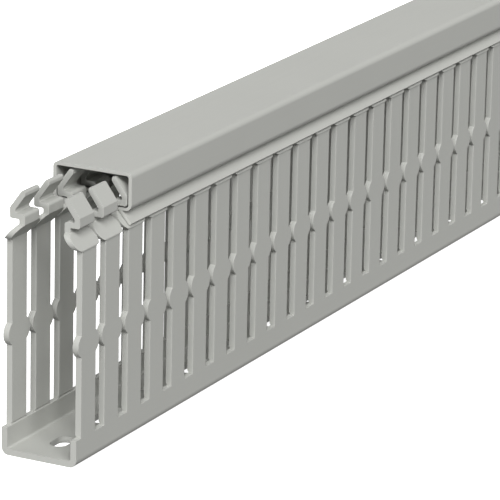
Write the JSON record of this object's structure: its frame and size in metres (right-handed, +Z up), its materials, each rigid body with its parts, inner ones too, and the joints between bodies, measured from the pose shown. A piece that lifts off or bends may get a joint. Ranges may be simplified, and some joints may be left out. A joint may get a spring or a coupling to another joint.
{
  "type": "slotted wire duct",
  "caption": "Light grey slotted plastic wire duct with snap-head fingers, a slotted floor and a clip-on cover drawn back from one end.",
  "frame": {"origin": "middle of the duct's underside, the face that is screwed to the panel", "axes": "+X along the duct, away from the end that the drawn-back cover leaves open; +Y across it; +Z up, from the floor to the cover"},
  "size_m": [1.0275, 0.0242, 0.075],
  "materials": {
    "duct_plastic": "matt rigid PVC, light warm grey",
    "cover_plastic": "matt rigid PVC, light warm grey"
  },
  "bodies": {
    "duct_body": {"duct_body": "duct_plastic"},
    "cover": {"cover": "cover_plastic"}
  },
  "joints": [
    {"name": "cover_slide", "type": "slide", "parent": "duct_body", "child": "cover", "axis": [1, 0, 0], "range_m": [-0.0275, 0.98]}
  ]
}
